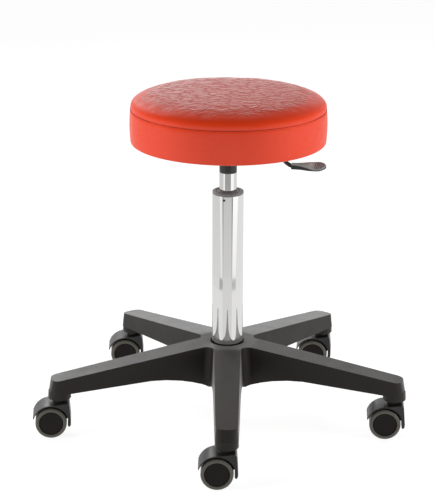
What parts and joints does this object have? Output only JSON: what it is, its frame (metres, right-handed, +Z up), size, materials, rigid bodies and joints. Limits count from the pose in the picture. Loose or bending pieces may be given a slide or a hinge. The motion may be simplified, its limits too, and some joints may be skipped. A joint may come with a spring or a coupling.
{
  "type": "dentist stool",
  "caption": "Height-adjustable dentist stool: round upholstered seat with a release lever, on a chromed gas lift over a star base with castors.",
  "frame": {"origin": "on the floor, at the middle of the footprint (bottom centre of the bounding box at rest)", "axes": "+Z up; the front arm of the base points along -Y; +X to the right, the side the lever is on; the castors trail towards -X"},
  "size_m": [0.5976, 0.5556, 0.5425],
  "materials": {
    "base_nylon": "moulded glass-filled nylon, fine spark-eroded grain",
    "hood_plastic": "smooth black nylon",
    "wheel_plastic": "smooth dark disc",
    "tread_rubber": "soft grey polyurethane tread",
    "chrome": "polished chrome plate",
    "steel": "bright zinc plated steel",
    "black_paint": "satin black powder coat",
    "collar_plastic": "dark grey acetal",
    "black_rubber": "black rubber",
    "bronze": "bearing bronze",
    "grip_plastic": "grey-black moulded plastic with a ribbed grip",
    "plywood": "raw birch plywood",
    "foam": "open-cell polyurethane foam",
    "leatherette": "orange-red leatherette, fine grain, soft sheen"
  },
  "bodies": {
    "base": {"star_base": "base_nylon", "outer_column": "chrome", "column_collar": "collar_plastic", "guide_bush": "collar_plastic", "thrust_bearing": "bronze", "castor_front_stem": "steel", "castor_right_stem": "steel", "castor_rear_right_stem": "steel", "castor_rear_left_stem": "steel", "castor_left_stem": "steel"},
    "lift_rod": {"piston_rod": "steel", "piston": "bronze", "bump_stop": "black_rubber", "rod_clip": "steel"},
    "seat": {"gas_cylinder": "chrome", "taper_sleeve": "black_paint", "rod_gland": "black_rubber", "valve_block": "steel", "seat_plate": "black_paint", "lever_pivot_pin": "steel", "plate_bolt_1": "steel", "plate_bolt_2": "steel", "plate_bolt_3": "steel", "plate_bolt_4": "steel", "seat_board": "plywood", "seat_foam": "foam", "seat_cover": "leatherette"},
    "lever": {"lever_rod": "black_paint", "lever_grip": "grip_plastic"},
    "release_pin": {"release_pin": "steel"},
    "castor_front": {"castor_front_hood": "hood_plastic", "castor_front_axle": "steel"},
    "castor_front_wheel_a": {"castor_front_wheel_a": "wheel_plastic", "castor_front_tread_a": "tread_rubber"},
    "castor_front_wheel_b": {"castor_front_wheel_b": "wheel_plastic", "castor_front_tread_b": "tread_rubber"},
    "castor_right": {"castor_right_hood": "hood_plastic", "castor_right_axle": "steel"},
    "castor_right_wheel_a": {"castor_right_wheel_a": "wheel_plastic", "castor_right_tread_a": "tread_rubber"},
    "castor_right_wheel_b": {"castor_right_wheel_b": "wheel_plastic", "castor_right_tread_b": "tread_rubber"},
    "castor_rear_right": {"castor_rear_right_hood": "hood_plastic", "castor_rear_right_axle": "steel"},
    "castor_rear_right_wheel_a": {"castor_rear_right_wheel_a": "wheel_plastic", "castor_rear_right_tread_a": "tread_rubber"},
    "castor_rear_right_wheel_b": {"castor_rear_right_wheel_b": "wheel_plastic", "castor_rear_right_tread_b": "tread_rubber"},
    "castor_rear_left": {"castor_rear_left_hood": "hood_plastic", "castor_rear_left_axle": "steel"},
    "castor_rear_left_wheel_a": {"castor_rear_left_wheel_a": "wheel_plastic", "castor_rear_left_tread_a": "tread_rubber"},
    "castor_rear_left_wheel_b": {"castor_rear_left_wheel_b": "wheel_plastic", "castor_rear_left_tread_b": "tread_rubber"},
    "castor_left": {"castor_left_hood": "hood_plastic", "castor_left_axle": "steel"},
    "castor_left_wheel_a": {"castor_left_wheel_a": "wheel_plastic", "castor_left_tread_a": "tread_rubber"},
    "castor_left_wheel_b": {"castor_left_wheel_b": "wheel_plastic", "castor_left_tread_b": "tread_rubber"}
  },
  "joints": [
    {"name": "castor_front_swivel", "type": "hinge", "parent": "base", "child": "castor_front", "pos_m": [0.01302, -0.25535, 0.0602], "axis": [0, 0, 1], "continuous": true},
    {"name": "castor_front_roll_a", "type": "hinge", "parent": "castor_front", "child": "castor_front_wheel_a", "pos_m": [-0.00128, -0.25535, 0.025], "axis": [0, -1, 0], "continuous": true},
    {"name": "castor_front_roll_b", "type": "hinge", "parent": "castor_front", "child": "castor_front_wheel_b", "pos_m": [-0.00128, -0.25535, 0.025], "axis": [0, -1, 0], "continuous": true},
    {"name": "castor_right_swivel", "type": "hinge", "parent": "base", "child": "castor_right", "pos_m": [0.28027, -0.06118, 0.0602], "axis": [0, 0, 1], "continuous": true},
    {"name": "castor_right_roll_a", "type": "hinge", "parent": "castor_right", "child": "castor_right_wheel_a", "pos_m": [0.26599, -0.06043, 0.025], "axis": [-0.0523, -0.9986, 0], "continuous": true},
    {"name": "castor_right_roll_b", "type": "hinge", "parent": "castor_right", "child": "castor_right_wheel_b", "pos_m": [0.26599, -0.06043, 0.025], "axis": [-0.0523, -0.9986, 0], "continuous": true},
    {"name": "castor_rear_right_swivel", "type": "hinge", "parent": "base", "child": "castor_rear_right", "pos_m": [0.17819, 0.25299, 0.0602], "axis": [0, 0, 1], "continuous": true},
    {"name": "castor_rear_right_roll_a", "type": "hinge", "parent": "castor_rear_right", "child": "castor_rear_right_wheel_a", "pos_m": [0.16392, 0.25398, 0.025], "axis": [-0.0698, -0.9976, 0], "continuous": true},
    {"name": "castor_rear_right_roll_b", "type": "hinge", "parent": "castor_rear_right", "child": "castor_rear_right_wheel_b", "pos_m": [0.16392, 0.25398, 0.025], "axis": [-0.0698, -0.9976, 0], "continuous": true},
    {"name": "castor_rear_left_swivel", "type": "hinge", "parent": "base", "child": "castor_rear_left", "pos_m": [-0.15215, 0.25299, 0.0602], "axis": [0, 0, 1], "continuous": true},
    {"name": "castor_rear_left_roll_a", "type": "hinge", "parent": "castor_rear_left", "child": "castor_rear_left_wheel_a", "pos_m": [-0.16643, 0.25236, 0.025], "axis": [0.0436, -0.999, 0], "continuous": true},
    {"name": "castor_rear_left_roll_b", "type": "hinge", "parent": "castor_rear_left", "child": "castor_rear_left_wheel_b", "pos_m": [-0.16643, 0.25236, 0.025], "axis": [0.0436, -0.999, 0], "continuous": true},
    {"name": "castor_left_swivel", "type": "hinge", "parent": "base", "child": "castor_left", "pos_m": [-0.25423, -0.06118, 0.0602], "axis": [0, 0, 1], "continuous": true},
    {"name": "castor_left_roll_a", "type": "hinge", "parent": "castor_left", "child": "castor_left_wheel_a", "pos_m": [-0.26848, -0.0623, 0.025], "axis": [0.0785, -0.9969, 0], "continuous": true},
    {"name": "castor_left_roll_b", "type": "hinge", "parent": "castor_left", "child": "castor_left_wheel_b", "pos_m": [-0.26848, -0.0623, 0.025], "axis": [0.0785, -0.9969, 0], "continuous": true},
    {"name": "seat_swivel", "type": "hinge", "parent": "base", "child": "lift_rod", "pos_m": [0.01302, 0.02565, 0.0664], "axis": [0, 0, 1], "continuous": true},
    {"name": "seat_height", "type": "slide", "parent": "lift_rod", "child": "seat", "axis": [0, 0, 1], "range_m": [-0.025, 0.115]},
    {"name": "lever_lift", "type": "hinge", "parent": "seat", "child": "lever", "pos_m": [0.04601, 0.01743, 0.453], "axis": [-0.2419, -0.9703, 0], "range_deg": [0, 5], "stiffness_Nm_per_rad": 0.3, "springref_deg": -2.86},
    {"name": "release_pin_press", "type": "slide", "parent": "seat", "child": "release_pin", "axis": [0, 0, 1], "range_m": [-0.0032, 0]}
  ],
  "couplings": [
    {"joint": "release_pin_press", "follows": "lever_lift", "m_per_rad": -0.034}
  ]
}
